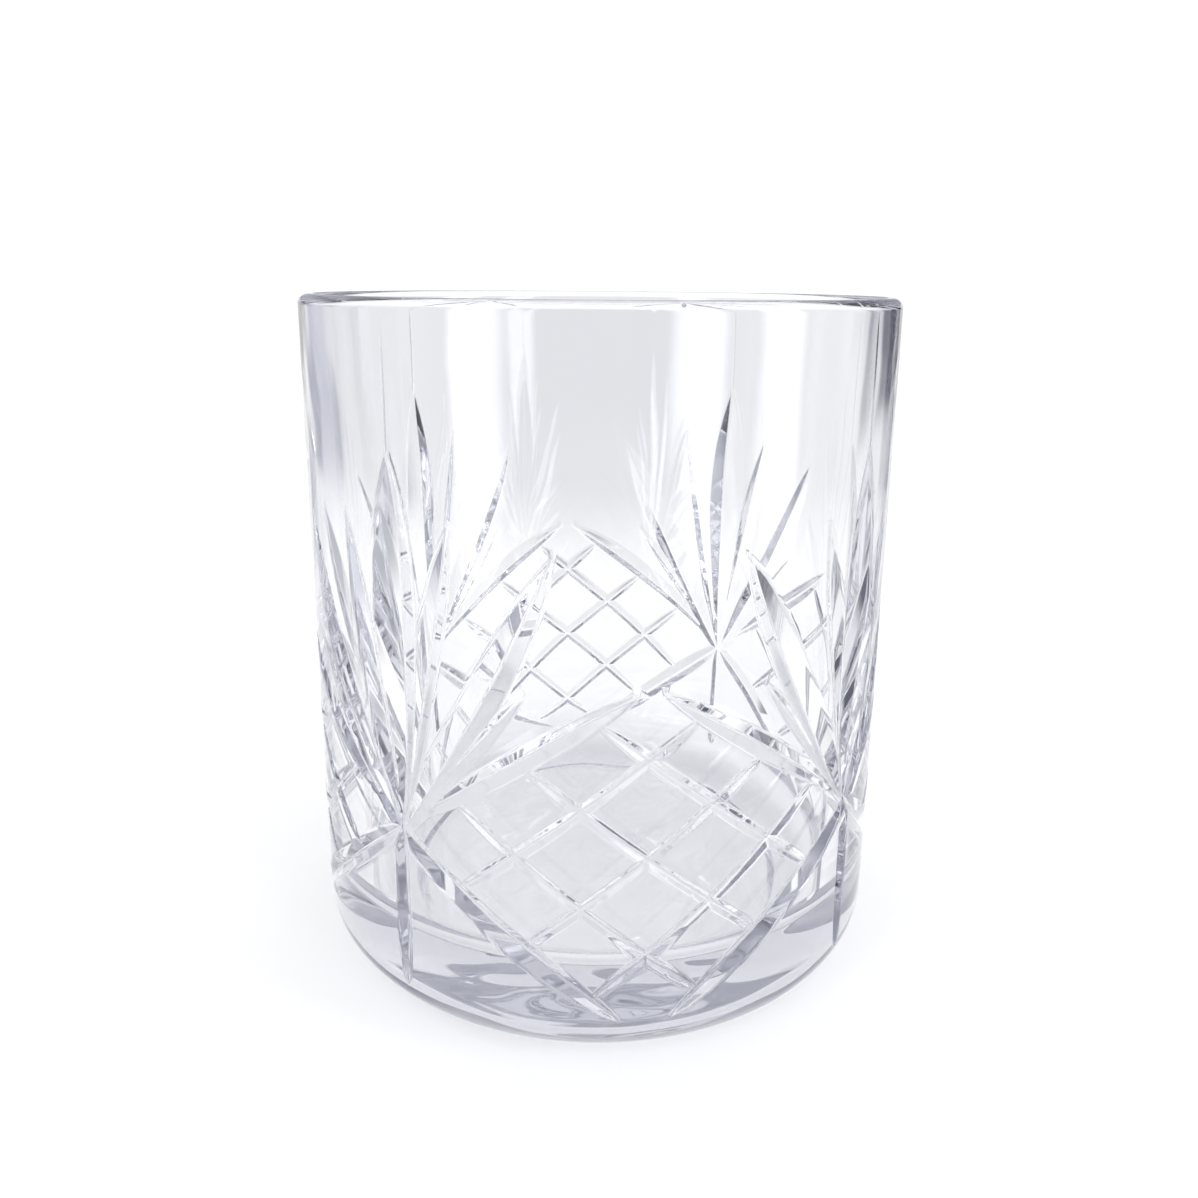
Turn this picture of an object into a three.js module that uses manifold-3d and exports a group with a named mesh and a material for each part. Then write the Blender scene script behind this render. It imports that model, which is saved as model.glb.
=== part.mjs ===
// A heavy pressed-glass tumbler: one body of clear glass, with a cut pattern round its wall.
//
// Units are millimetres. +Z is the axis of the glass and points up, and the origin is the
// middle of the foot, on the plane that the glass stands on. Turns round the axis are in
// degrees, measured from -Y, and grow towards +X. Panels of crossed cuts face -Y, +X, +Y and
// -X, and a fan of leaf-shaped cuts stands between each two of them.

import * as THREE from 'three';
import { mergeVertices } from 'three/addons/utils/BufferGeometryUtils.js';
import Module from 'manifold-3d';

// Body
const HEIGHT = 91.5;
const RIM_RADIUS = 41.3;
const FOOT_RADIUS = 39.65;        // outer wall, carried down to the standing plane
const HEEL_RADIUS = 8;            // rounding between the wall and the foot
const RIM_WALL = 2.8;             // wall at the lip
const LOWER_WALL = 4.9;           // wall where the inner corner starts
const FLOOR = 11;                 // thickness of the base
const CORNER_RADIUS = 4.5;        // rounding between the floor and the inner wall
const FOOT_RING = 4;              // width of the flat ring that the glass stands on
const RECESS_DEPTH = 0.8;         // hollow inside that ring
const RECESS_EDGE = 1.2;          // width of the hollow's sloping edge
const ROUND_SEGMENTS = 56;
const ARC_STEPS = 3;              // half the steps of each rounding

// Cut pattern
const PANELS = 4;
const FAN_HEIGHT = 27.6;          // height of the point that each fan spreads from
const CUT_LIFT = 0.4;             // share of a cutter that stays outside the glass
const CUT_STATIONS = 6;           // steps along a cutter
const LEAF_BLUNTNESS = 0.5;       // 1 is a slim leaf, 0 is a cut as wide at its ends

// Cuts of a fan: where each tip lies from the fan's point, as a turn and a rise, and the width,
// depth and sideways bow of the cut. Each of the LEAVES has its twin on the fan's other side.
const MIDDLE_LEAF = { turn: 0, rise: 46.4, width: 7.2, depth: 1.8, bow: 0 };
const LEAVES = [
  { turn: 12, rise: 38.8, width: 4.2, depth: 1.2, bow: 0 },
  { turn: 29.3, rise: 36.1, width: 4.6, depth: 1.3, bow: 1.2 },
  { turn: 25, rise: 20.3, width: 2.4, depth: 0.8, bow: 0 },
];
const UPPER_FRAME = { turn: 43.5, rise: 20.6, width: 3, depth: 1.1, bow: -0.6 };
const LOWER_FRAME = { turn: 41.5, rise: -21, width: 3.3, depth: 1.2, bow: 0 };
const FOOT_CUT = { turn: 0, rise: -22.6, width: 2.2, depth: 0.9, bow: 0 };

// Crossed cuts of a panel
const CROSS_PITCH = 11.25;        // turn between neighbouring crossings
const CROSS_RISE = 6.2;           // height between neighbouring crossings
const CROSS_WIDTH = 1.7;
const CROSS_DEPTH = 0.75;
const CROSS_BLUNTNESS = 0.12;

const GLASS = { color: 0xe4e9f0, roughness: 0.03, metalness: 0, transparent: true, opacity: 0.35 };

const wasm = await Module();
wasm.setup();

const radians = THREE.MathUtils.degToRad;

// Radius of the plain outer wall at a height.
function wallRadius(z) {
  return THREE.MathUtils.lerp(FOOT_RADIUS, RIM_RADIUS, z / HEIGHT);
}

// Makes a solid of a closed geometry: its seams are merged, and the triangles that its poles
// leave without an area are dropped.
function solidFrom(geometry) {
  const bare = geometry.clone();
  bare.deleteAttribute('normal');
  bare.deleteAttribute('uv');
  const merged = mergeVertices(bare, 1e-4);
  const index = merged.index.array;
  const triVerts = [];
  for (let i = 0; i < index.length; i += 3) {
    const [a, b, c] = [index[i], index[i + 1], index[i + 2]];
    if (a !== b && b !== c && c !== a) triVerts.push(a, b, c);
  }
  return new wasm.Manifold(new wasm.Mesh({
    numProp: 3,
    vertProperties: new Float32Array(merged.attributes.position.array),
    triVerts: new Uint32Array(triVerts),
  }));
}

function geometryFrom(solid) {
  const mesh = solid.getMesh();
  const geometry = new THREE.BufferGeometry();
  geometry.setAttribute('position', new THREE.BufferAttribute(mesh.vertProperties, 3));
  geometry.setIndex(new THREE.BufferAttribute(mesh.triVerts, 1));
  geometry.computeVertexNormals();
  return geometry;
}

// The plain glass: its outline runs from the middle of the foot out and up the wall, over the
// lip and down the bore to the middle of the floor, and is turned round the axis.
function plainBody() {
  const lean = Math.atan((RIM_RADIUS - FOOT_RADIUS) / HEIGHT);
  const lip = RIM_WALL / 2;
  const heelTop = HEEL_RADIUS * (1 - Math.sin(lean));
  const heelCentre = wallRadius(heelTop) - HEEL_RADIUS * Math.cos(lean);
  const recess = heelCentre - FOOT_RING;
  const cornerTop = FLOOR + CORNER_RADIUS;
  const cornerCentre = wallRadius(cornerTop) - LOWER_WALL - CORNER_RADIUS;
  const outline = new THREE.Path();
  outline.moveTo(0, RECESS_DEPTH);
  outline.lineTo(recess - RECESS_EDGE, RECESS_DEPTH);
  outline.lineTo(recess, 0);
  outline.absarc(heelCentre, HEEL_RADIUS, HEEL_RADIUS, -Math.PI / 2, -lean, false);
  outline.absarc(RIM_RADIUS - lip, HEIGHT - lip, lip, -lean, Math.PI, false);
  outline.absarc(cornerCentre, cornerTop, CORNER_RADIUS, 0, -Math.PI / 2, true);
  outline.lineTo(0, FLOOR);
  const body = new THREE.LatheGeometry(outline.getPoints(ARC_STEPS), ROUND_SEGMENTS);
  return body.rotateX(Math.PI / 2);
}

// A cutter with a V-shaped section, wrapped on the wall from one point { turn, z } to another.
// It is a four-sided spindle, pointed at both ends, whose lower edge sinks into the glass.
function cutter(from, to, { width, depth, bow, bluntness }) {
  const profile = [];
  for (let i = 0; i <= CUT_STATIONS; i += 1) {
    const along = i / CUT_STATIONS;
    const isEnd = i === 0 || i === CUT_STATIONS;
    profile.push(new THREE.Vector2(isEnd ? 0 : Math.sin(Math.PI * along) ** bluntness, along));
  }
  const spindle = new THREE.LatheGeometry(profile, 4);
  const halfWidth = width / 2 / (1 - CUT_LIFT);
  const halfDepth = depth / (1 - CUT_LIFT);
  const middle = wallRadius((from.z + to.z) / 2);
  const run = new THREE.Vector2(radians(to.turn - from.turn) * middle, to.z - from.z);
  const side = new THREE.Vector2(run.y, -run.x).normalize();
  const place = spindle.attributes.position;
  for (let i = 0; i < place.count; i += 1) {
    const along = place.getY(i);
    const across = place.getX(i) * halfWidth + bow * 4 * along * (1 - along);
    const out = (place.getZ(i) + CUT_LIFT) * halfDepth;
    const z = from.z + run.y * along + side.y * across;
    const turn = radians(from.turn) + (run.x * along + side.x * across) / middle;
    const radius = wallRadius(z) + out;
    place.setXYZ(i, radius * Math.sin(turn), -radius * Math.cos(turn), z);
  }
  return spindle;
}

// The fan beside a panel: its leaves, the cuts that frame the panels, and the foot cut.
function fanCuts(turn) {
  const point = { turn, z: FAN_HEIGHT };
  const cuts = [];
  for (const side of [-1, 1]) {
    const paired = [...LEAVES, UPPER_FRAME, LOWER_FRAME];
    const single = side > 0 ? [MIDDLE_LEAF, FOOT_CUT] : [];
    for (const cut of [...paired, ...single]) {
      const tip = { turn: turn + side * cut.turn, z: FAN_HEIGHT + cut.rise };
      cuts.push(cutter(point, tip, { ...cut, bow: side * cut.bow, bluntness: LEAF_BLUNTNESS }));
    }
  }
  return cuts;
}

// The crossed cuts of a panel. Each runs from one frame cut to the opposite one: a straight line
// through the panel's middle line at a height, which meets the frame's slope at both ends.
function panelCuts(turn) {
  const slope = CROSS_RISE / CROSS_PITCH;
  const halfPanel = 180 / PANELS;
  const top = (UPPER_FRAME.rise * halfPanel) / UPPER_FRAME.turn;
  const foot = (LOWER_FRAME.rise * halfPanel) / LOWER_FRAME.turn;
  const size = { width: CROSS_WIDTH, depth: CROSS_DEPTH, bow: 0, bluntness: CROSS_BLUNTNESS };
  const cuts = [];
  for (const side of [-1, 1]) {
    for (const step of [-1, 0, 1]) {
      const middle = 2 * CROSS_RISE * step;
      const up = (top - middle) / (slope + top / halfPanel);
      const down = (middle - foot) / (slope - foot / halfPanel);
      const start = { turn: turn - side * up, z: FAN_HEIGHT + middle + slope * up };
      const end = { turn: turn + side * down, z: FAN_HEIGHT + middle - slope * down };
      cuts.push(cutter(start, end, size));
    }
  }
  return cuts;
}

function cutGlass() {
  let glass = solidFrom(plainBody());
  for (let panel = 0; panel < PANELS; panel += 1) {
    const turn = (360 / PANELS) * panel;
    for (const cut of [...fanCuts(turn + 180 / PANELS), ...panelCuts(turn)]) {
      glass = glass.subtract(solidFrom(cut));
    }
  }
  return geometryFrom(glass);
}

const model = new THREE.Group();
const tumbler = new THREE.Mesh(cutGlass(), new THREE.MeshStandardMaterial(GLASS));
tumbler.name = 'tumbler';
model.add(tumbler);

export default model;
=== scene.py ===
"""A heavy pressed-glass tumbler: the detailed glass, its material and the studio round it.

Lengths are metres and turns are degrees, measured round the axis from -Y and growing towards +X.
"""

import math
from collections import namedtuple

import bpy
import numpy as np
from bpy.props import FloatProperty, FloatVectorProperty, IntProperty, PointerProperty
from mathutils import Matrix, Vector


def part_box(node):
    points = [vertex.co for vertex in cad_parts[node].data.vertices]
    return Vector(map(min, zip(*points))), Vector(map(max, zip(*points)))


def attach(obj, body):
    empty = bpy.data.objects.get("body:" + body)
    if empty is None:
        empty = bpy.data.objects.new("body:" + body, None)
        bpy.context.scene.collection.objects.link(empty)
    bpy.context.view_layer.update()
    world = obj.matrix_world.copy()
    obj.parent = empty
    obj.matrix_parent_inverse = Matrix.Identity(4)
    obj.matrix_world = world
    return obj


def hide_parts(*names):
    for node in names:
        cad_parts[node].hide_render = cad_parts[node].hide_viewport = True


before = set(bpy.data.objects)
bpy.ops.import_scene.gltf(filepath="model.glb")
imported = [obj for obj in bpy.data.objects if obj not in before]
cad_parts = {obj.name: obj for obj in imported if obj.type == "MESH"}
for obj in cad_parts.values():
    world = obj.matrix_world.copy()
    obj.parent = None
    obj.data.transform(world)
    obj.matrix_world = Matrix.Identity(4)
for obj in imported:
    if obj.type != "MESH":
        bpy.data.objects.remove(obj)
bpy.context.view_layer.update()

bl_info = {
    "name": "Cut-glass tumbler",
    "version": (1, 0, 0),
    "blender": (4, 5, 0),
    "location": "3D View > Sidebar > Tumbler",
    "description": "Makes a pressed-glass tumbler with a cut pattern, and a studio for it",
    "category": "Add Mesh",
}

MM = 0.001
BODY = "root"
CAD_NODE = "tumbler"
PIECE = "tumbler_glass"
SECTOR = 45.0                  # turn between the middle of a panel and the point of its fan
LOW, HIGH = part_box(CAD_NODE)

# A cut on the unrolled wall. From the fan's point it runs to a tip at a turn and a rise (m),
# and lead is how far it starts behind that point. width and depth are its largest ones, bow
# its sideways arch, blunt the power of its outline, and skew moves its widest place to the tip.
Cut = namedtuple("Cut", "turn rise width depth bow lead blunt skew")
MIDDLE_LEAF = Cut(0, 46.4 * MM, 7.2 * MM, 1.8 * MM, 0, 3.0 * MM, 3.0, 1)
LEAVES = (
    Cut(12, 38.8 * MM, 3.8 * MM, 1.1 * MM, 0, 3.0 * MM, 3.0, 1),
    Cut(29.3, 36.1 * MM, 4.6 * MM, 1.3 * MM, 1.2 * MM, 3.0 * MM, 3.4, 1),
    Cut(25, 20.3 * MM, 2.4 * MM, 0.8 * MM, 0, 2.0 * MM, 3.0, 1),
)
UPPER_FRAME = Cut(43.5, 20.6 * MM, 2.9 * MM, 1.1 * MM, -0.6 * MM, 3.0 * MM, 2.6, 1.5)
LOWER_FRAME = Cut(41.5, -21 * MM, 3.3 * MM, 1.2 * MM, 0, 3.0 * MM, 3.0, 1)
FOOT_CUT = Cut(0, -22.6 * MM, 2.4 * MM, 0.9 * MM, 0, 3.0 * MM, 4.0, 1)
SEAM_WIDTH = 0.2               # turn over which the mould seam falls away
SEAM_STEP = 0.13               # turn between the mesh's columns there
SEAM_START = 2 * MM            # how far below a middle leaf's tip the seam starts
SEAM_END = 2.2 * MM            # how far below the top of the lip it ends
SEAM_FADE = 3 * MM             # height over which it rises and falls
HOLLOW_SLOPE = 1.2 * MM        # width of the sloping edge of the hollow under the foot
HOLLOW_ROUND = 0.5 * MM        # rounding at both ends of that slope
CROSS_PITCH = 11.25            # turn between neighbouring crossings
CROSS_RISE = 6.2 * MM          # height between them
CROSS_SIZE = {"width": 1.7 * MM, "depth": 0.75 * MM, "bow": 0, "lead": 0, "blunt": 9.0, "skew": 1}

# Steps of the mesh
HEEL_ROWS = 13                 # from the standing plane to the heel's top
CUT_ROWS = 49                  # from there to the tips of the middle leaves
BAND_ROWS = 7                  # from there to the lip
LIP_STEPS = 20                 # over the lip
BORE_STEPS = 13                # down the bore
CORNER_STEPS = 14              # round the inner corner
FLAT_RINGS = 22                # across the floor, and under the foot
SOFT_STEPS = 4                 # round each soft edge of the hollow

# Slow ripples of the pressed floor and foot: each a wave's way (x, y), length (m), start and
# share.
RIPPLES = (
    (0.94, 0.34, 15.5 * MM, 0.4, 0.30), (-0.26, 0.97, 12.3 * MM, 2.1, 0.26),
    (0.64, -0.77, 9.1 * MM, 4.0, 0.18), (0.17, 0.99, 7.3 * MM, 1.2, 0.12),
    (0.87, 0.49, 6.1 * MM, 5.3, 0.08), (-0.71, 0.70, 18.2 * MM, 3.3, 0.30),
)


class TumblerShape(bpy.types.PropertyGroup):
    """The sizes of the glass."""

    height: FloatProperty(
        name="Height", description="From the standing plane to the top of the lip",
        default=HIGH.z, subtype="DISTANCE", unit="LENGTH")
    rim_radius: FloatProperty(
        name="Rim radius", description="Outer radius at the lip",
        default=HIGH.x, subtype="DISTANCE", unit="LENGTH")
    foot_radius: FloatProperty(
        name="Foot radius", description="Outer wall, carried down to the standing plane",
        default=39.65 * MM, subtype="DISTANCE", unit="LENGTH")
    heel_radius: FloatProperty(
        name="Heel radius", description="Rounding between the wall and the foot",
        default=8 * MM, subtype="DISTANCE", unit="LENGTH")
    rim_wall: FloatProperty(
        name="Wall at the lip", description="Thickness of the wall at the lip",
        default=2.8 * MM, subtype="DISTANCE", unit="LENGTH")
    lower_wall: FloatProperty(
        name="Lower wall", description="Thickness of the wall where the inner corner starts",
        default=4.9 * MM, subtype="DISTANCE", unit="LENGTH")
    floor: FloatProperty(
        name="Floor", description="Thickness of the base",
        default=11 * MM, subtype="DISTANCE", unit="LENGTH")
    corner_radius: FloatProperty(
        name="Inner corner", description="Rounding between the floor and the inner wall",
        default=4.5 * MM, subtype="DISTANCE", unit="LENGTH")
    foot_ring: FloatProperty(
        name="Foot ring", description="Width of the flat ring that the glass stands on",
        default=4 * MM, subtype="DISTANCE", unit="LENGTH")
    recess: FloatProperty(
        name="Hollow", description="Depth of the hollow inside the foot ring",
        default=0.8 * MM, subtype="DISTANCE", unit="LENGTH")
    fan_height: FloatProperty(
        name="Fan height", description="Height of the point that each fan spreads from",
        default=27.6 * MM, subtype="DISTANCE", unit="LENGTH")
    edge_softness: FloatProperty(
        name="Softness of edges", description="Depth over which the edge of a cut is rounded",
        default=0.2 * MM, subtype="DISTANCE", unit="LENGTH")
    valley_softness: FloatProperty(
        name="Softness of valleys", description="Half width of the rounding at a cut's bottom",
        default=0.28 * MM, subtype="DISTANCE", unit="LENGTH")
    seam_height: FloatProperty(
        name="Mould seam", description="Height of the ridge that the mould left over each fan",
        default=0.07 * MM, subtype="DISTANCE", unit="LENGTH")
    ripple: FloatProperty(
        name="Ripples", description="Height of the ripples in the floor and under the foot",
        default=0.34 * MM, subtype="DISTANCE", unit="LENGTH")
    columns: IntProperty(
        name="Columns", description="Steps of the mesh in one half panel", default=30)


class TumblerFinish(bpy.types.PropertyGroup):
    """The look of the glass."""

    tint: FloatVectorProperty(
        name="Tint", description="Colour that each surface passes", subtype="COLOR",
        default=(0.982, 0.984, 0.99), min=0, max=1)
    depth_tint: FloatVectorProperty(
        name="Depth tint", description="Colour that light takes on deep inside the glass",
        subtype="COLOR", default=(0.80, 0.803, 0.833), min=0, max=1)
    depth_density: FloatProperty(
        name="Depth density", description="How fast light takes that colour, per metre",
        default=26.0)
    ior: FloatProperty(
        name="Refractive index", description="Index of the glass", default=1.51)
    waviness: FloatProperty(
        name="Waviness", description="Strength of the soft ripples of pressed glass",
        default=0.2, subtype="FACTOR", min=0, max=1)
    wear: FloatProperty(
        name="Foot wear", description="Roughness of the scuffed ring that the glass stands on",
        default=0.3, subtype="FACTOR", min=0, max=1)


class TumblerStudio(bpy.types.PropertyGroup):
    """The light, the floor and the camera."""

    paper: FloatVectorProperty(
        name="Paper", description="Colour of the floor", subtype="COLOR",
        default=(0.945, 0.945, 0.95), min=0, max=1)
    brightness: FloatProperty(
        name="Brightness", description="Strength of the even light on the floor", default=1.1)
    camera_turn: FloatProperty(
        name="Camera turn", description="Turn of the camera round the glass, in degrees",
        default=-8.64)
    camera_distance: FloatProperty(
        name="Camera distance", description="From the axis of the glass to the camera",
        default=152.8 * MM, subtype="DISTANCE", unit="LENGTH")
    camera_height: FloatProperty(
        name="Camera height", description="Height of the camera above the floor",
        default=93.7 * MM, subtype="DISTANCE", unit="LENGTH")
    camera_pitch: FloatProperty(
        name="Camera pitch", description="How far the camera looks down, in degrees",
        default=10.18)
    camera_roll: FloatProperty(
        name="Camera roll", description="Roll of the camera, in degrees", default=0.47)
    lens: FloatProperty(
        name="Lens", description="Focal length in millimetres on a 36 mm sensor",
        default=32.1)
    shift: FloatProperty(
        name="Shift", description="Upward shift of the lens, in widths of the picture",
        default=-0.1075)


def wall_radius(shape, z):
    """Radius of the plain outer wall at height z: a straight line from foot to rim."""
    return shape.foot_radius + (shape.rim_radius - shape.foot_radius) * z / shape.height


def wall_lean(shape):
    """Angle that the outer wall leans out by, in radians."""
    return math.atan((shape.rim_radius - shape.foot_radius) / shape.height)


def heel_frame(shape):
    """The heel's top height and the radius that its rounding is centred on."""
    lean = wall_lean(shape)
    top = shape.heel_radius * (1 - math.sin(lean))
    return top, wall_radius(shape, top) - shape.heel_radius * math.cos(lean)


def heel_depth(shape, z):
    """How far the heel lies inside the plain wall, with its slopes by turn and by height.

    Below the heel's top the surface is a circle in section, so the depth is the wall's radius
    less the circle's.
    """
    top, centre = heel_frame(shape)
    size = shape.heel_radius
    below = np.clip(size - z, 0, size)
    reach = np.sqrt(np.maximum(size**2 - below**2, (2e-3 * size) ** 2))
    depth = np.where(z < top, wall_radius(shape, z) - centre - reach, 0.0)
    slope = np.where(z < top, math.tan(wall_lean(shape)) - below / reach, 0.0)
    return depth, np.zeros_like(depth), slope


def cut_lines(shape):
    """Every cut that reaches into one half panel, as (cut, start turn, start height, tip turn,
    tip height). Panels are mirror images, so the fans on both sides of the panel count."""
    fan = shape.fan_height
    lines = []
    for point, sides in ((SECTOR, (-1, 1)), (-SECTOR, (1,))):
        for side in sides:
            for cut in (*LEAVES, UPPER_FRAME, LOWER_FRAME):
                placed = cut._replace(bow=side * cut.bow)
                lines.append((placed, point, fan, point + side * cut.turn, fan + cut.rise))
    lines.append((MIDDLE_LEAF, SECTOR, fan, SECTOR, fan + MIDDLE_LEAF.rise))
    lines.append((FOOT_CUT, SECTOR, fan, SECTOR, fan + FOOT_CUT.rise))
    slope = CROSS_RISE / CROSS_PITCH
    top = UPPER_FRAME.rise * SECTOR / UPPER_FRAME.turn
    foot = LOWER_FRAME.rise * SECTOR / LOWER_FRAME.turn
    for side in (-1, 1):
        for step in (-1, 0, 1):
            middle = 2 * CROSS_RISE * step
            up = (top - middle) / (slope + top / SECTOR)
            down = (middle - foot) / (slope - foot / SECTOR)
            lines.append((
                Cut(0, 0, **CROSS_SIZE), -side * up, fan + middle + slope * up,
                side * down, fan + middle - slope * down))
    return lines


def outline(cut, along):
    """Share of a cut's full width at a place along it, and its slope.

    1 less the power of the distance from the middle, which is 0 at both ends; past them it
    falls on in a straight line.
    """
    inside = np.clip(along, 1e-6, 1 - 1e-6)
    middle = 2 * inside**cut.skew - 1
    share = 1 - np.abs(middle) ** cut.blunt
    slope = -cut.blunt * np.abs(middle) ** (cut.blunt - 1) * np.sign(middle)
    slope = slope * 2 * cut.skew * inside ** (cut.skew - 1)
    outside = along - inside
    steep = 6.0
    share = share - steep * np.abs(outside)
    slope = np.where(outside > 0, -steep, np.where(outside < 0, steep, slope))
    return share, slope


def cut_place(shape, line, turns, z):
    """Place along a cut (0 to 1) and distance across it, with their slopes by turn and height.

    The wall is unrolled at the cut's middle height, and a bowed cut's middle line is a
    parabola.
    """
    cut, turn, start, tip_turn, tip = line
    radius = wall_radius(shape, (start + tip) / 2)
    run = np.array([math.radians(tip_turn - turn) * radius, tip - start])
    length = np.hypot(*run)
    ahead = run / length
    aside = np.array([ahead[1], -ahead[0]])
    x = np.radians(turns - turn) * radius
    y = z - start
    total = length + cut.lead
    along = (x * ahead[0] + y * ahead[1] + cut.lead) / total
    across = x * aside[0] + y * aside[1] - cut.bow * 4 * along * (1 - along)
    bend = -cut.bow * 4 * (1 - 2 * along) / total
    by_turn = (ahead[0] * radius / total, (aside[0] + bend * ahead[0]) * radius)
    by_height = (ahead[1] / total, aside[1] + bend * ahead[1])
    return along, across, by_turn, by_height


def cut_depth(shape, line, turns, z):
    """Depth of one cut, with its slopes by turn (per radian) and by height.

    The depth is a V: the full depth times the outline, less the distance from the middle line
    times the flank's slope. Near the middle line the V is a parabola, which rounds its bottom.
    """
    cut = line[0]
    along, across, by_turn, by_height = cut_place(shape, line, turns, z)
    share, share_slope = outline(cut, along)
    flank = 2 * cut.depth / cut.width
    soft = shape.valley_softness
    near = np.abs(across) < soft
    away = np.where(near, across**2 / (2 * soft) + soft / 2, np.abs(across))
    away_slope = np.where(near, across / soft, np.sign(across))
    depth = cut.depth * share - flank * away
    d_along = cut.depth * share_slope
    d_across = -flank * away_slope
    return (
        depth,
        d_along * by_turn[0] + d_across * by_turn[1],
        d_along * by_height[0] + d_across * by_height[1],
    )


def deeper(first, second, soft):
    """The deeper of two depths, with slopes, rounded where they're within soft of each other.

    A soft maximum: the larger plus a quarter of the squared closeness, so the ridge between
    two cuts is a rounded one.
    """
    gap = second[0] - first[0]
    close = np.clip(soft - np.abs(gap), 0, None)
    weight = np.clip(0.5 + gap / (2 * soft), 0, 1)
    return (
        np.maximum(first[0], second[0]) + close**2 / (4 * soft),
        first[1] + (second[1] - first[1]) * weight,
        first[2] + (second[2] - first[2]) * weight,
    )


def carved_depth(shape, lines, turns, z):
    """Depth of the heel and all these cuts below the plain wall, with its slopes."""
    total = heel_depth(shape, z)
    for line in lines:
        total = deeper(total, cut_depth(shape, line, turns, z), shape.edge_softness)
    return total


def seam_ridge(shape, turns, z):
    """Height of the mould seam above a middle leaf, with its slopes by turn and by height.

    Across, it is a bell curve of the turn from the fan's line. Along, it is a share that rises
    from the leaf's tip and falls to the shoulder.
    """
    across = (turns - SECTOR) / SEAM_WIDTH
    bell = np.exp(-across**2)
    start = shape.fan_height + MIDDLE_LEAF.rise - SEAM_START
    end = shape.height - SEAM_END
    share = np.clip(np.minimum((z - start) / SEAM_FADE, (end - z) / SEAM_FADE), 0, 1)
    ridge = shape.seam_height * share * bell
    return ridge, ridge * -2 * across * np.degrees(1) / SEAM_WIDTH, np.zeros_like(ridge)


def split_faces(points, faces, middle):
    """Cuts triangles at the new points on their edges, so that neighbours always match.

    middle holds the new point on each triangle's edges 0-1, 1-2 and 2-0, or -1. One new point
    makes two triangles, and two make three, with the shorter diagonal.
    """
    cut = middle >= 0
    count = cut.sum(1)
    parts = [faces[count == 0]]
    rows = np.flatnonzero(count == 1)
    if len(rows):
        first = cut[rows].argmax(1)
        turn = (first[:, None] + np.arange(3)) % 3
        a, b, c = np.take_along_axis(faces[rows], turn, 1).T
        m = middle[rows, first]
        parts += [np.stack([a, m, c], 1), np.stack([m, b, c], 1)]
    rows = np.flatnonzero(count == 2)
    if len(rows):
        first = cut[rows].argmin(1)
        turn = (first[:, None] + np.arange(3)) % 3
        a, b, c = np.take_along_axis(faces[rows], turn, 1).T
        bc = middle[rows, (first + 1) % 3]
        ca = middle[rows, (first + 2) % 3]
        span = lambda p, q: np.linalg.norm(points[p] - points[q], axis=1)
        short = (span(a, bc) <= span(b, ca))[:, None]
        parts.append(np.stack([c, ca, bc], 1))
        parts.append(np.where(short, np.stack([a, b, bc], 1), np.stack([a, b, ca], 1)))
        parts.append(np.where(short, np.stack([a, bc, ca], 1), np.stack([b, bc, ca], 1)))
    return np.concatenate(parts)


def split_along(points, faces, level, wanted, close=0.02):
    """Adds the line where level is zero to a mesh, as edges, wherever wanted says so.

    level and wanted take points. Each crossed edge gets a point, found by the secant rule;
    a crossing very near an end is left to that end.
    """
    sides = np.concatenate([faces[:, [0, 1]], faces[:, [1, 2]], faces[:, [2, 0]]])
    edges, which = np.unique(np.sort(sides, 1), axis=0, return_inverse=True)
    value = level(points)
    at, to = value[edges[:, 0]], value[edges[:, 1]]
    crossed = np.flatnonzero(at * to < 0)
    if not len(crossed):
        return points, faces
    a, b = points[edges[crossed, 0]], points[edges[crossed, 1]]
    low, high = np.zeros(len(crossed)), np.ones(len(crossed))
    f_low, f_high = at[crossed].copy(), to[crossed].copy()
    for _ in range(6):
        share = low + (high - low) * np.clip(f_low / (f_low - f_high), 0.02, 0.98)
        found = level(a + (b - a) * share[:, None])
        same = found * f_low > 0
        low, f_low = np.where(same, share, low), np.where(same, found, f_low)
        high, f_high = np.where(same, high, share), np.where(same, f_high, found)
    share = low + (high - low) * f_low / (f_low - f_high)
    new = a + (b - a) * share[:, None]
    keep = (share > close) & (share < 1 - close) & wanted(new)
    middle = np.full(len(edges), -1)
    middle[crossed[keep]] = len(points) + np.arange(keep.sum())
    middle = middle[which.reshape(-1)].reshape(3, -1).T
    points = np.concatenate([points, new[keep]])
    return points, split_faces(points, faces, middle)


def sector_grid(shape):
    """Flat grid of one half panel as points (turn, height) and triangles.

    Rows are even steps of angle round the heel and even steps of height above it, and the
    last columns stand close together, to hold the mould seam.
    """
    heel_top, _ = heel_frame(shape)
    bend = np.linspace(0, math.pi / 2 - wall_lean(shape), HEEL_ROWS)
    heel = shape.heel_radius * (1 - np.cos(bend))
    lip = shape.rim_wall / 2
    shoulder = shape.height - lip - lip * math.sin(wall_lean(shape))
    busy = min(shape.fan_height + MIDDLE_LEAF.rise + 2 * MM, shoulder - 4 * MM)
    rows = np.concatenate([
        heel[:-1],
        np.linspace(heel_top, busy, CUT_ROWS)[:-1],
        np.linspace(busy, shoulder, BAND_ROWS),
    ])
    columns = np.linspace(0, SECTOR, shape.columns + 1)
    columns = np.insert(columns, -1, SECTOR - SEAM_STEP * np.arange(4, 0, -1))
    turns, heights = np.meshgrid(columns, rows)
    points = np.stack([turns.ravel(), heights.ravel()], 1)
    n = len(columns)
    corner = (np.arange(len(rows) - 1)[:, None] * n + np.arange(n - 1)).ravel()
    a, b, c, d = corner, corner + 1, corner + n + 1, corner + n
    faces = np.concatenate([np.stack([a, b, c], 1), np.stack([a, c, d], 1)])
    return points, faces


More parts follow.
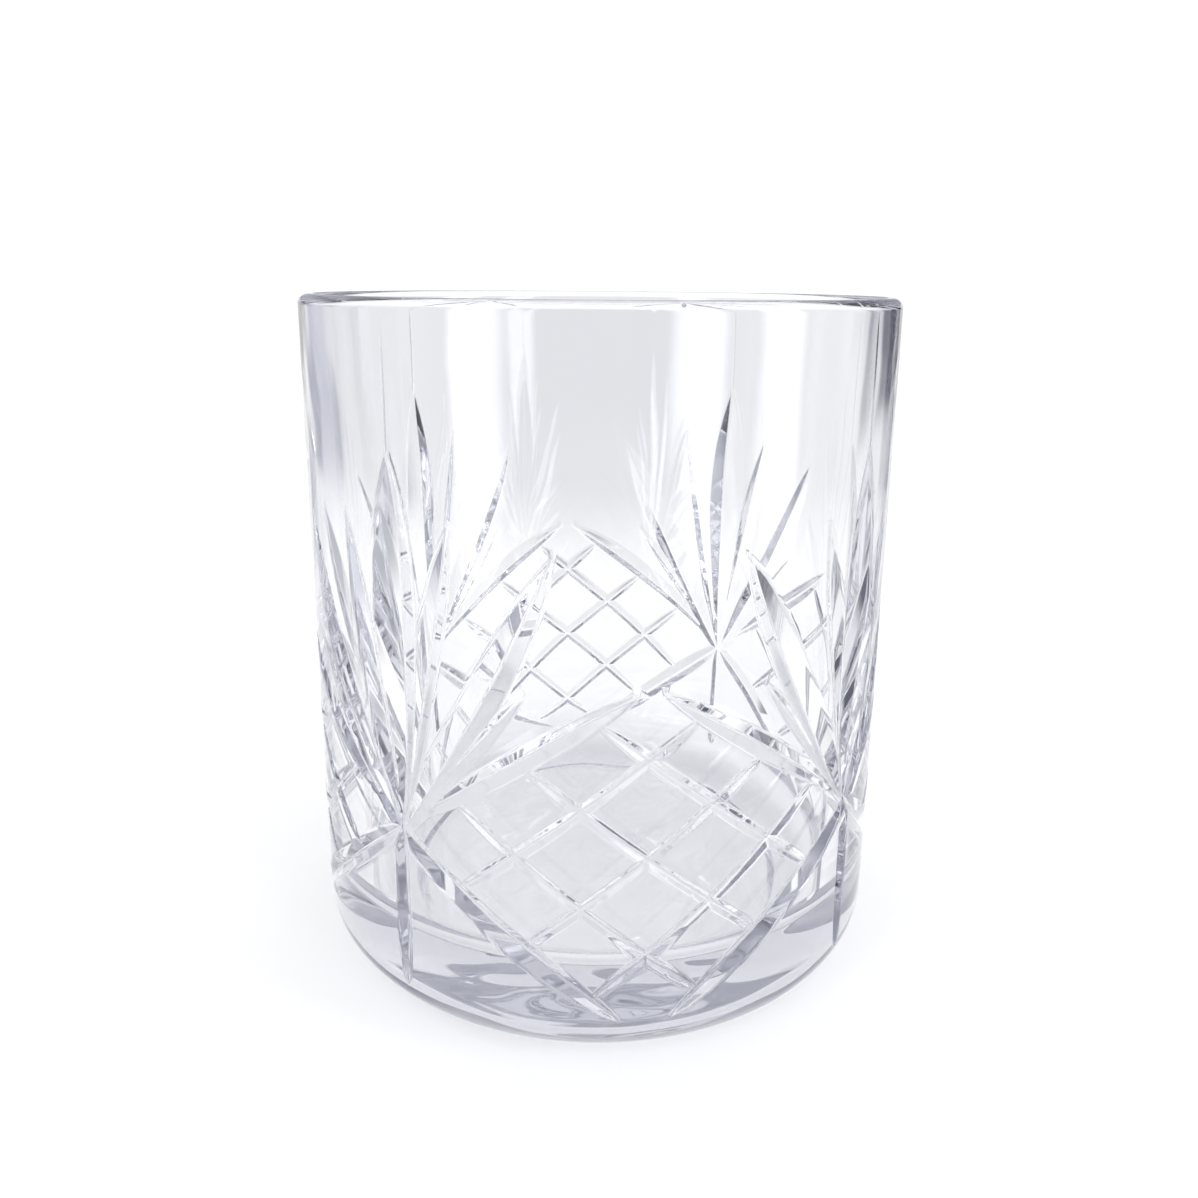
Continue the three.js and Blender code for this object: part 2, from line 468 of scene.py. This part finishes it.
def carve_sector(shape, lines):
    """Grid of one half panel with edges along the bottom and both rims of every cut."""
    points, faces = sector_grid(shape)
    unit = np.array([math.radians(1) * shape.rim_radius, 1.0])
    points = points * unit
    soft = shape.edge_softness

    def spread(p):
        return p[:, 0] / unit[0], p[:, 1]

    for i, line in enumerate(lines):
        before, after = lines[:i], lines[i + 1:]

        def gap(p, offset):
            turns, z = spread(p)
            mine = cut_depth(shape, line, turns, z)[0]
            return mine - carved_depth(shape, before, turns, z)[0] - offset

        def not_hidden(p):
            turns, z = spread(p)
            mine = cut_depth(shape, line, turns, z)[0] + 1.5 * soft
            hidden = np.zeros(len(p), bool)
            for other in after:
                hidden |= cut_depth(shape, other, turns, z)[0] > mine
            return ~hidden

        def shows(p):
            return (gap(p, -soft) > 0) & not_hidden(p)

        def beside(p, offset):
            turns, z = spread(p)
            return cut_place(shape, line, turns, z)[1] - offset

        for offset in (-soft, soft):
            points, faces = split_along(
                points, faces, lambda p: gap(p, offset), not_hidden)
        for offset in (-shape.valley_softness, shape.valley_softness):
            points, faces = split_along(points, faces, lambda p: beside(p, offset), shows)
    return points / unit, faces


def wall_surface(shape):
    """Points, normals and triangles of the whole carved wall, heel included.

    The radius is the plain wall's less the carved depth. The normal leans against the radius's
    slopes by turn and by height. One half panel is worked out, and the others are its turned
    and mirrored copies, which share the points on their common lines.
    """
    lines = cut_lines(shape)
    flat, faces = carve_sector(shape, lines)
    turns, z = flat.T
    depth, by_turn, by_height = carved_depth(shape, lines, turns, z)
    on_panel = turns < 1e-9
    on_fan = turns > SECTOR - 1e-9
    ridge = seam_ridge(shape, turns, z)
    depth, by_turn, by_height = depth - ridge[0], by_turn - ridge[1], by_height - ridge[2]
    by_turn = np.where(on_panel | on_fan, 0.0, by_turn)
    radius = wall_radius(shape, z) - depth
    lean = math.tan(wall_lean(shape)) - by_height
    side = by_turn / radius

    count = len(flat)
    copies = np.arange(8)
    odd = copies % 2 == 1
    base = 90.0 * ((copies + 1) // 2)
    angle = np.radians(np.where(odd[:, None], base[:, None] - turns, base[:, None] + turns))
    swing = np.where(odd[:, None], -side, side)
    sin, cos = np.sin(angle), np.cos(angle)
    points = np.stack([radius * sin, -radius * cos, np.broadcast_to(z, sin.shape)], 2)
    normals = np.stack([
        sin + swing * cos, -cos + swing * sin, np.broadcast_to(-lean, sin.shape)], 2)
    normals /= np.linalg.norm(normals, axis=2, keepdims=True)

    index = copies[:, None] * count + np.arange(count)
    for copy in copies[odd]:
        index[copy, on_fan] = index[copy - 1, on_fan]
        index[copy, on_panel] = index[(copy + 1) % 8, on_panel]
    used, packed = np.unique(index, return_inverse=True)
    packed = packed.reshape(index.shape)
    triangles = [
        packed[copy][faces[:, ::-1] if odd[copy] else faces] for copy in copies]
    return points.reshape(-1, 3)[used], normals.reshape(-1, 3)[used], np.concatenate(triangles)


def arc(centre, radius, start, end, steps, hollow=False):
    """Points of a circle in section as (r, z), with outward normals; a hollow one's point in."""
    angle = np.linspace(start, end, steps + 1)
    normals = np.stack([np.cos(angle), np.sin(angle)], 1)
    return np.array(centre) + radius * normals, -normals if hollow else normals


def bowl_section(shape):
    """Section from the top of the outer wall over the lip and down the bore to the floor."""
    lip = shape.rim_wall / 2
    corner_top = shape.floor + shape.corner_radius
    inner = wall_radius(shape, corner_top) - shape.lower_wall
    centre = (inner - shape.corner_radius, corner_top)
    lip_centre = (shape.rim_radius - lip, shape.height - lip)
    slope = math.atan2(shape.rim_radius - shape.rim_wall - inner, lip_centre[1] - corner_top)
    over = arc(lip_centre, lip, -wall_lean(shape), math.pi - slope, LIP_STEPS)
    corner = arc(
        centre, shape.corner_radius, -slope, -math.pi / 2, CORNER_STEPS, hollow=True)
    share = np.linspace(0, 1, BORE_STEPS)[1:-1, None]
    bore = over[0][-1] + (corner[0][0] - over[0][-1]) * share
    bore_normals = np.broadcast_to(over[1][-1], bore.shape)
    rings = np.linspace(centre[0], 0, FLAT_RINGS)[1:-1]
    floor = np.stack([rings, np.full_like(rings, shape.floor)], 1)
    up = np.broadcast_to([0.0, 1.0], floor.shape)
    return (
        np.concatenate([over[0][1:], bore, corner[0], floor]),
        np.concatenate([over[1][1:], bore_normals, corner[1], up]),
    )


def foot_section(shape):
    """Section from the heel across the foot ring and up into the hollow, with soft edges."""
    _, outer = heel_frame(shape)
    ring = outer - shape.foot_ring
    soft = HOLLOW_ROUND
    slope = math.atan2(shape.recess, HOLLOW_SLOPE)
    reach = soft * math.tan(slope / 2)
    edge = arc((ring + reach, soft), soft, -math.pi / 2, -math.pi / 2 - slope, SOFT_STEPS)
    top = ring - HOLLOW_SLOPE
    root = arc(
        (top - reach, shape.recess - soft), soft, math.pi / 2 - slope, math.pi / 2,
        SOFT_STEPS, hollow=True)
    rings = np.linspace(top - reach, 0, FLAT_RINGS)[1:-1]
    flat = np.stack([rings, np.full_like(rings, shape.recess)], 1)
    down = np.broadcast_to([0.0, -1.0], flat.shape)
    return np.concatenate([edge[0], root[0], flat]), np.concatenate([edge[1], root[1], down])


def rippled(points, normals, level, edge, height):
    """Adds ripples to the flat part of a turned surface, at a level and inside an edge radius.

    The rise is a sum of sine waves over x and y, times a share that falls from 1 on the axis
    to 0 at the edge as the square of 1 less the squared radius. Normals lean against it.
    """
    x, y, z = points.T
    fall = 1 - (x**2 + y**2) / edge**2
    flat = (np.abs(z - level) < 1e-9) & (fall > 0)
    fall = np.where(flat, fall, 0.0)
    wave, by_x, by_y = np.zeros_like(x), np.zeros_like(x), np.zeros_like(x)
    for way_x, way_y, length, start, share in RIPPLES:
        rate = 2 * math.pi / length
        phase = rate * (x * way_x + y * way_y) + start
        wave += share * np.sin(phase)
        by_x += share * rate * way_x * np.cos(phase)
        by_y += share * rate * way_y * np.cos(phase)
    slope_x = height * (fall**2 * by_x - 4 * fall * x / edge**2 * wave)
    slope_y = height * (fall**2 * by_y - 4 * fall * y / edge**2 * wave)
    risen = np.stack([x, y, z + height * fall**2 * wave], 1)
    leaning = np.stack([-slope_x, -slope_y, np.ones_like(x)], 1) * np.sign(normals[:, 2:])
    leaning /= np.maximum(np.linalg.norm(leaning, axis=1, keepdims=True), 1e-9)
    return risen, np.where(flat[:, None], leaning, normals)


def turned_cap(rim_points, rim_index, start, section, normals, pole, height):
    """Carries a section round the axis from an existing ring of points to a pole.

    Each ring keeps the turns of the rim's points, and the flat part gets ripples of a height.
    Returns new points, normals and triangles, whose numbers start at start.
    """
    angle = np.arctan2(rim_points[:, 1], rim_points[:, 0])
    cos, sin = np.cos(angle), np.sin(angle)
    shape = (len(section), len(angle))
    points = np.stack([
        section[:, :1] * cos, section[:, :1] * sin, np.broadcast_to(section[:, 1:], shape)], 2)
    leaning = np.stack([
        normals[:, :1] * cos, normals[:, :1] * sin, np.broadcast_to(normals[:, 1:], shape)], 2)
    index = start + np.arange(points.shape[0] * points.shape[1]).reshape(shape)
    index = np.concatenate([rim_index[None], index])
    following = np.roll(index, -1, axis=1)
    a, b, c, d = index[:-1], index[1:], following[1:], following[:-1]
    faces = np.concatenate([
        np.stack([a, d, c], 2).reshape(-1, 3), np.stack([a, c, b], 2).reshape(-1, 3)])
    tip = start + points.shape[0] * points.shape[1]
    fan = np.stack([index[-1], following[-1], np.full(len(angle), tip)], 1)
    centre = np.array([[0, 0, pole]])
    up = np.array([[0, 0, math.copysign(1, normals[-1, 1])]])
    edge = section[np.abs(section[:, 1] - pole) < 1e-9, 0].max()
    risen, leaning = rippled(
        np.concatenate([points.reshape(-1, 3), centre]),
        np.concatenate([leaning.reshape(-1, 3), up]), pole, edge, height)
    return risen, leaning, np.concatenate([faces, fan])


def ring_at(points, height):
    """Numbers of the points at a height, in order round the axis."""
    level = np.flatnonzero(np.abs(points[:, 2] - height) < 1e-7)
    return level[np.argsort(np.arctan2(points[level, 1], points[level, 0]))]


def make_glass(shape):
    """Mesh object of the whole glass: the carved wall, the bowl over the lip and the foot."""
    points, normals, faces = wall_surface(shape)
    top = ring_at(points, points[:, 2].max())
    low = ring_at(points, 0.0)
    bowl = turned_cap(
        points[top], top, len(points), *bowl_section(shape), shape.floor, shape.ripple)
    foot = turned_cap(
        points[low], low, len(points) + len(bowl[0]), *foot_section(shape), shape.recess,
        shape.ripple)
    points = np.concatenate([points, bowl[0], foot[0]])
    normals = np.concatenate([normals, bowl[1], foot[1]])
    faces = np.concatenate([faces, bowl[2], foot[2][:, ::-1]])
    mesh = bpy.data.meshes.new(PIECE)
    mesh.from_pydata(points, [], faces)
    mesh.polygons.foreach_set("use_smooth", np.ones(len(faces), bool))
    mesh.normals_split_custom_set_from_vertices(normals)
    mesh.update()
    glass = bpy.data.objects.new(PIECE, mesh)
    bpy.context.scene.collection.objects.link(glass)
    return glass


class NodeTable:
    """Adds nodes to a material or world, and joins them by socket name."""

    def __init__(self, owner):
        owner.use_nodes = True
        self.tree = owner.node_tree
        self.tree.nodes.clear()

    def add(self, kind, settings=None, **inputs):
        """A new node. settings are its own options; an input is a value or another socket."""
        node = self.tree.nodes.new(kind)
        for key, value in (settings or {}).items():
            setattr(node, key, value)
        for key, value in inputs.items():
            name = key.replace("_", " ")
            slot = node.inputs[int(key[1:]) if key[1:].isdigit() else name]
            if isinstance(value, bpy.types.NodeSocket):
                self.tree.links.new(value, slot)
            else:
                slot.default_value = value
        return node

    def math(self, operation, *values):
        """A Math node's result."""
        inputs = {f"i{i}": value for i, value in enumerate(values)}
        return self.add("ShaderNodeMath", {"operation": operation}, **inputs).outputs[0]

    def ramp(self, factor, stops, interpolation="LINEAR"):
        """A Color Ramp's colour; stops are (position, colour)."""
        node = self.add("ShaderNodeValToRGB", None, Fac=factor)
        ramp = node.color_ramp
        ramp.interpolation = interpolation
        while len(ramp.elements) < len(stops):
            ramp.elements.new(1.0)
        for element, (position, colour) in zip(ramp.elements, stops):
            element.position = position
            element.color = (*colour, 1)
        return node.outputs["Color"]


# Scales of the noise in the materials, per metre, and how far each one reaches.
POLISH_SCALE, POLISH_ROUGHNESS = 60.0, 0.036
SCUFF_SCALE, SCUFF_TOP = 900.0, 0.25 * MM
WAVE_SCALE, WAVE_RISE = 55.0, 0.8 * MM
PAPER_SCALE, PAPER_SHADE = 8.0, 0.985


def clear_glass(finish):
    """Clear pressed glass: a blue-grey cast that deepens with thickness, soft ripples, a faint
    unevenness of polish, and a scuffed ring where it stands."""
    material = bpy.data.materials.new("clear_glass")
    nodes = NodeTable(material)
    place = nodes.add("ShaderNodeTexCoord").outputs["Object"]
    height = nodes.add("ShaderNodeSeparateXYZ", None, Vector=place).outputs["Z"]

    polish = nodes.add(
        "ShaderNodeTexNoise", None, Vector=place, Scale=POLISH_SCALE, Detail=2.0)
    scuffs = nodes.add(
        "ShaderNodeTexNoise", None, Vector=place, Scale=SCUFF_SCALE, Detail=3.0)
    standing = nodes.math("LESS_THAN", height, SCUFF_TOP)
    scuffed = nodes.math(
        "MULTIPLY", standing, nodes.math("MULTIPLY", scuffs.outputs[0], finish.wear))
    even = nodes.math("MULTIPLY", polish.outputs[0], POLISH_ROUGHNESS)
    rough = nodes.math("ADD", even, scuffed)

    waves = nodes.add(
        "ShaderNodeTexNoise", None, Vector=place, Scale=WAVE_SCALE, Detail=1.0)
    bump = nodes.add(
        "ShaderNodeBump", None, Strength=finish.waviness, Distance=WAVE_RISE,
        Height=waves.outputs[0])
    glass = nodes.add(
        "ShaderNodeBsdfPrincipled", None, Base_Color=(*finish.tint, 1), Transmission_Weight=1.0,
        IOR=finish.ior, Roughness=rough, Normal=bump.outputs[0])
    depth = nodes.add(
        "ShaderNodeVolumeAbsorption", None, Color=(*finish.depth_tint, 1),
        Density=finish.depth_density)
    nodes.add(
        "ShaderNodeOutputMaterial", None, Surface=glass.outputs[0], Volume=depth.outputs[0])
    return material


def paper(studio):
    """Matt white paper with a very faint unevenness."""
    material = bpy.data.materials.new("studio_paper")
    nodes = NodeTable(material)
    place = nodes.add("ShaderNodeTexCoord").outputs["Object"]
    grain = nodes.add("ShaderNodeTexNoise", None, Vector=place, Scale=PAPER_SCALE)
    shade = tuple(PAPER_SHADE * c for c in studio.paper)
    colour = nodes.ramp(grain.outputs[0], [(0.3, shade), (0.7, tuple(studio.paper))])
    matt = nodes.add("ShaderNodeBsdfDiffuse", None, Color=colour)
    nodes.add("ShaderNodeOutputMaterial", None, Surface=matt.outputs[0])
    return material


# What the glass sees round it, by the direction's turn from +Y towards +X, in degrees: the
# pale sweep that it stands on, and the dimmer room above the sweep's far edge.
SWEEP = [
    (-180, (0.55, 0.56, 0.60)), (-85, (0.60, 0.61, 0.64)), (-62, (0.46, 0.47, 0.52)),
    (-46, (0.66, 0.67, 0.74)), (-31, (0.64, 0.65, 0.73)), (-27, (0.97, 0.97, 0.98)),
    (-6, (0.94, 0.94, 0.955)), (1, (0.865, 0.865, 0.885)), (13, (0.865, 0.865, 0.885)),
    (18, (0.94, 0.94, 0.955)), (36, (0.95, 0.95, 0.96)), (56, (0.78, 0.79, 0.84)),
    (61, (0.85, 0.86, 0.90)), (68, (1.0, 1.0, 1.0)), (118, (0.97, 0.97, 1.0)),
    (128, (0.55, 0.56, 0.60)), (180, (0.55, 0.56, 0.60)),
]
ROOM = [
    (-180, (0.40, 0.41, 0.46)), (-100, (0.45, 0.46, 0.50)), (-75, (0.28, 0.29, 0.37)),
    (-20, (0.26, 0.27, 0.35)), (-8, (0.50, 0.51, 0.56)), (26, (0.50, 0.51, 0.56)),
    (36, (0.16, 0.17, 0.25)), (60, (0.16, 0.17, 0.25)), (70, (0.85, 0.86, 0.90)),
    (118, (0.85, 0.86, 0.90)), (132, (0.40, 0.41, 0.46)), (180, (0.40, 0.41, 0.46)),
]
# Dark cards standing on the sweep: from turn, to turn, from height, to height (as the sine of
# the angle above the horizon), colour.
CARDS = (
    (39, 55, -0.20, 0.05, (0.03, 0.035, 0.075, 1)),
    (64, 78, -0.15, 0.05, (0.42, 0.43, 0.49, 1)),
    (-33, -23, -0.24, -0.145, (0.27, 0.28, 0.36, 1)),
)
CARD_EDGE = 1.0                # turn over which a card's side edges are soft
CARD_RISE = 0.03               # the same for its lower and upper edges
SHEET = (1.12, 1.12, 1.13, 1)      # the lit paper close to the glass
CEILING = (0.93, 0.94, 0.98, 1)
# How strongly the strip lights shine, by the same turn.
STRIPS = [
    (-180, 0), (-138, 0), (-132, 1), (-123, 1), (-115, 0), (110, 0), (115, 1), (125, 1),
    (129, 0), (142, 0), (145, 1), (154, 1), (157, 0), (180, 0),
]
STRIP_POWER = 6.0
# Where one zone gives way to the next, as the sine of the angle above the horizon.
SHEET_ENDS = (-0.31, -0.215)
ROOM_STARTS = (0.04, 0.1)
CEILING_STARTS = (0.35, 0.75)
STRIPS_START = (-0.36, -0.2)
STRIPS_END = (0.5, 0.7)


def studio_world(studio):
    """A white room for the eye and the floor. The glass sees a pale sweep with dark cards on
    it, a dimmer room above it, and tall strip lights beside the camera."""
    world = bpy.data.worlds.new("studio")
    bpy.context.scene.world = world
    nodes = NodeTable(world)
    way = nodes.add("ShaderNodeTexCoord").outputs["Generated"]
    axes = nodes.add("ShaderNodeSeparateXYZ", None, Vector=way).outputs
    turn = nodes.math("ARCTAN2", axes["X"], axes["Y"])
    share = nodes.math("MULTIPLY_ADD", turn, 0.5 / math.pi, 0.5)

    def by_turn(stops):
        return nodes.ramp(share, [((at + 180) / 360, colour) for at, colour in stops])

    def by_height(low, high):
        step = nodes.add(
            "ShaderNodeMapRange", {"interpolation_type": "SMOOTHSTEP"}, Value=axes["Z"],
            From_Min=low, From_Max=high)
        return step.outputs[0]

    def blend(share, first, second):
        return nodes.add(
            "ShaderNodeMix", {"data_type": "RGBA"}, i0=share, i6=first, i7=second).outputs[2]

    near = blend(by_height(*SHEET_ENDS), SHEET, by_turn(SWEEP))
    for start, end, low, high, colour in CARDS:
        shown, hidden = (1, 1, 1), (0, 0, 0)
        card = by_turn([
            (-180, hidden), (start - CARD_EDGE, hidden), (start + CARD_EDGE, shown),
            (end - CARD_EDGE, shown), (end + CARD_EDGE, hidden)])
        card = nodes.math("MULTIPLY", card, by_height(low - CARD_RISE, low + CARD_RISE))
        above = nodes.math("SUBTRACT", 1.0, by_height(high - CARD_RISE, high + CARD_RISE))
        near = blend(nodes.math("MULTIPLY", card, above), near, colour)
    walls = blend(by_height(*ROOM_STARTS), near, by_turn(ROOM))
    around = blend(by_height(*CEILING_STARTS), walls, CEILING)
    lamps = by_turn([(at, (power, power, power)) for at, power in STRIPS])
    lamps = nodes.math("MULTIPLY", lamps, nodes.math("SUBTRACT", 1.0, by_height(*STRIPS_END)))
    lamps = nodes.math("MULTIPLY", lamps, by_height(*STRIPS_START))
    bright = nodes.math("MULTIPLY_ADD", lamps, STRIP_POWER, 1.0)
    seen = nodes.add("ShaderNodeBackground", None, Color=around, Strength=bright)
    even = nodes.add(
        "ShaderNodeBackground", None, Color=(1, 1, 1, 1), Strength=studio.brightness)
    ray = nodes.add("ShaderNodeLightPath").outputs
    lit = nodes.math("MAXIMUM", ray["Is Diffuse Ray"], ray["Diffuse Depth"])
    plain = nodes.math("MINIMUM", nodes.math("MAXIMUM", ray["Is Camera Ray"], lit), 1.0)
    both = nodes.add(
        "ShaderNodeMixShader", None, i0=plain, i1=seen.outputs[0], i2=even.outputs[0])
    nodes.add("ShaderNodeOutputWorld", None, Surface=both.outputs[0])
    return world


FLOOR_RINGS = (0.05, 0.09, 0.14)   # radii of the paper's rings
FLOOR_SIDES = 96
FLOOR_DROP = 0.02 * MM         # how far the paper lies below the foot, so that they don't touch


def make_floor(studio):
    """A round sheet of paper at the height of the foot: rings round a middle point."""
    turns = np.linspace(0, 2 * math.pi, FLOOR_SIDES + 1)[:-1]
    rings = np.array(FLOOR_RINGS)[:, None]
    points = np.stack([rings * np.cos(turns), rings * np.sin(turns), 0 * rings * turns], 2)
    points = np.concatenate([points.reshape(-1, 3), [[0, 0, 0]]])
    points[:, 2] = LOW.z - FLOOR_DROP
    index = np.arange(len(points) - 1).reshape(-1, FLOOR_SIDES)
    following = np.roll(index, -1, axis=1)
    faces = np.stack([index[:-1], index[1:], following[1:], following[:-1]], 2)
    quads = faces.reshape(-1, 4).tolist()
    middle = np.full(FLOOR_SIDES, len(points) - 1)
    fan = np.stack([middle, index[0], following[0]], 1).tolist()
    mesh = bpy.data.meshes.new("studio_floor")
    mesh.from_pydata(points, [], quads + fan)
    floor = bpy.data.objects.new("studio_floor", mesh)
    bpy.context.scene.collection.objects.link(floor)
    mesh.materials.append(paper(studio))
    floor.visible_glossy = False
    return floor


def make_camera(studio):
    """Camera at its turn, distance and height, looking towards the axis, pitched down."""
    turn, pitch, roll = (
        math.radians(v) for v in (studio.camera_turn, studio.camera_pitch, studio.camera_roll))
    out = Vector((math.sin(turn), -math.cos(turn), 0))
    place = out * studio.camera_distance
    place.z = studio.camera_height
    ahead = -out * math.cos(pitch) - Vector((0, 0, math.sin(pitch)))
    up = -out * math.sin(pitch) + Vector((0, 0, math.cos(pitch)))
    right = ahead.cross(up)
    tilted_right = right * math.cos(roll) + up * math.sin(roll)
    tilted_up = up * math.cos(roll) - right * math.sin(roll)
    data = bpy.data.cameras.new("studio_camera")
    data.lens, data.sensor_width, data.shift_y = studio.lens, 36, studio.shift
    data.clip_start, data.clip_end = 0.005, 50
    camera = bpy.data.objects.new("studio_camera", data)
    camera.matrix_world = Matrix.Translation(place) @ Matrix(
        (tilted_right, tilted_up, -ahead)).transposed().to_4x4()
    bpy.context.scene.collection.objects.link(camera)
    bpy.context.scene.camera = camera
    return camera


class TUMBLER_OT_glass(bpy.types.Operator):
    """Makes the glass, with its cut pattern and its material"""

    bl_idname = "tumbler.glass"
    bl_label = "Glass"

    def execute(self, context):
        shape, finish = context.scene.tumbler_shape, context.scene.tumbler_finish
        glass = make_glass(shape)
        glass.data.materials.append(clear_glass(finish))
        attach(glass, BODY)
        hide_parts(CAD_NODE)
        return {"FINISHED"}


class TUMBLER_OT_studio(bpy.types.Operator):
    """Makes the floor, the light and the camera"""

    bl_idname = "tumbler.studio"
    bl_label = "Studio"

    def execute(self, context):
        studio = context.scene.tumbler_studio
        make_camera(studio)
        make_floor(studio)
        studio_world(studio)
        scene = context.scene
        scene.view_settings.view_transform = "Standard"
        scene.cycles.max_bounces = 40
        scene.cycles.transmission_bounces = 40
        scene.cycles.glossy_bounces = 18
        scene.cycles.sample_clamp_indirect = 20.0
        scene.cycles.blur_glossy = 0.0
        return {"FINISHED"}


class TUMBLER_PT_panel(bpy.types.Panel):
    """Lists the sizes and the finish of the glass and the settings of the studio"""

    bl_idname = "TUMBLER_PT_panel"
    bl_label = "Tumbler"
    bl_space_type = "VIEW_3D"
    bl_region_type = "UI"
    bl_category = "Tumbler"

    def draw(self, context):
        groups = (
            (context.scene.tumbler_shape, TUMBLER_OT_glass),
            (context.scene.tumbler_finish, None),
            (context.scene.tumbler_studio, TUMBLER_OT_studio),
        )
        for group, operator in groups:
            box = self.layout.box()
            for name in group.__annotations__:
                box.prop(group, name)
            if operator:
                box.operator(operator.bl_idname)


GROUPS = {
    "tumbler_shape": TumblerShape,
    "tumbler_finish": TumblerFinish,
    "tumbler_studio": TumblerStudio,
}
CLASSES = (*GROUPS.values(), TUMBLER_OT_glass, TUMBLER_OT_studio, TUMBLER_PT_panel)


def register():
    for cls in CLASSES:
        bpy.utils.register_class(cls)
    for name, group in GROUPS.items():
        setattr(bpy.types.Scene, name, PointerProperty(type=group))


def unregister():
    for name in GROUPS:
        delattr(bpy.types.Scene, name)
    for cls in reversed(CLASSES):
        bpy.utils.unregister_class(cls)


def main():
    register()
    bpy.ops.tumbler.studio()
    bpy.ops.tumbler.glass()
    bpy.context.view_layer.update()


if __name__ == "__main__":
    main()
